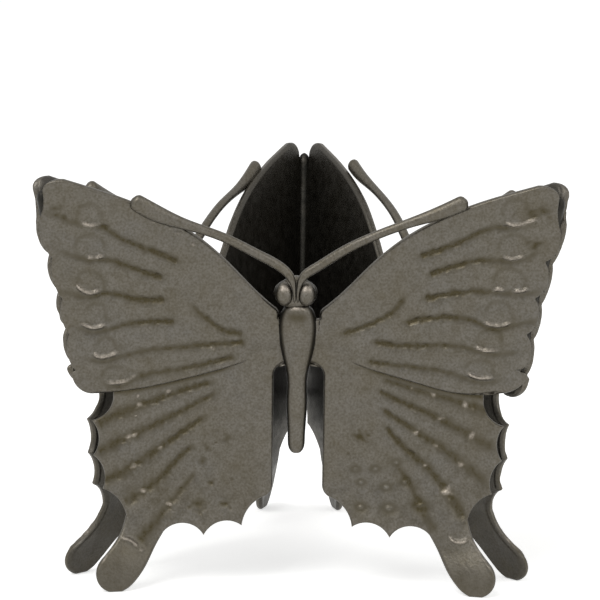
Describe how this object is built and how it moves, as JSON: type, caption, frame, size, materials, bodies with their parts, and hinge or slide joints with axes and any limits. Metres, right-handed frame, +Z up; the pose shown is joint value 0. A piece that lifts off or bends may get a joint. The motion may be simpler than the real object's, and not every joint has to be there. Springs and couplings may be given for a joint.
{
  "type": "tea ceremony lid rest",
  "caption": "Bronze futaoki lid rest: swallowtail butterflies with spread wings stand as the sides of a triangle, joined at their wing margins; a hot lid lies on the wing tips.",
  "frame": {"origin": "middle of the bounding box's footprint, on the plane that the tail lobes stand on", "axes": "+X across the front butterfly, from its left end to its right end as seen from in front of it; +Y from the front butterfly to the opposite corner of the triangle; +Z up, towards the lid"},
  "size_m": [0.067, 0.0586, 0.0523],
  "materials": {
    "bronze_wing": "cast, dark brown-grey patina, satin",
    "bronze_body": "cast, dark brown-grey patina, satin",
    "bronze_antenna": "cast, dark brown-grey patina, rubbed",
    "braze": "brazed, patinated over"
  },
  "bodies": {
    "root": {"back_braze": "braze", "back_left_butterfly_antenna_left": "bronze_antenna", "back_left_butterfly_antenna_right": "bronze_antenna", "back_left_butterfly_body": "bronze_body", "back_left_butterfly_forewing_left": "bronze_wing", "back_left_butterfly_forewing_right": "bronze_wing", "back_left_butterfly_head": "bronze_body", "back_left_butterfly_hindwing_left": "bronze_wing", "back_left_butterfly_hindwing_right": "bronze_wing", "back_right_butterfly_antenna_left": "bronze_antenna", "back_right_butterfly_antenna_right": "bronze_antenna", "back_right_butterfly_body": "bronze_body", "back_right_butterfly_forewing_left": "bronze_wing", "back_right_butterfly_forewing_right": "bronze_wing", "back_right_butterfly_head": "bronze_body", "back_right_butterfly_hindwing_left": "bronze_wing", "back_right_butterfly_hindwing_right": "bronze_wing", "front_butterfly_antenna_left": "bronze_antenna", "front_butterfly_antenna_right": "bronze_antenna", "front_butterfly_body": "bronze_body", "front_butterfly_forewing_left": "bronze_wing", "front_butterfly_forewing_right": "bronze_wing", "front_butterfly_head": "bronze_body", "front_butterfly_hindwing_left": "bronze_wing", "front_butterfly_hindwing_right": "bronze_wing", "front_left_braze": "braze", "front_right_braze": "braze"}
  },
  "joints": []
}
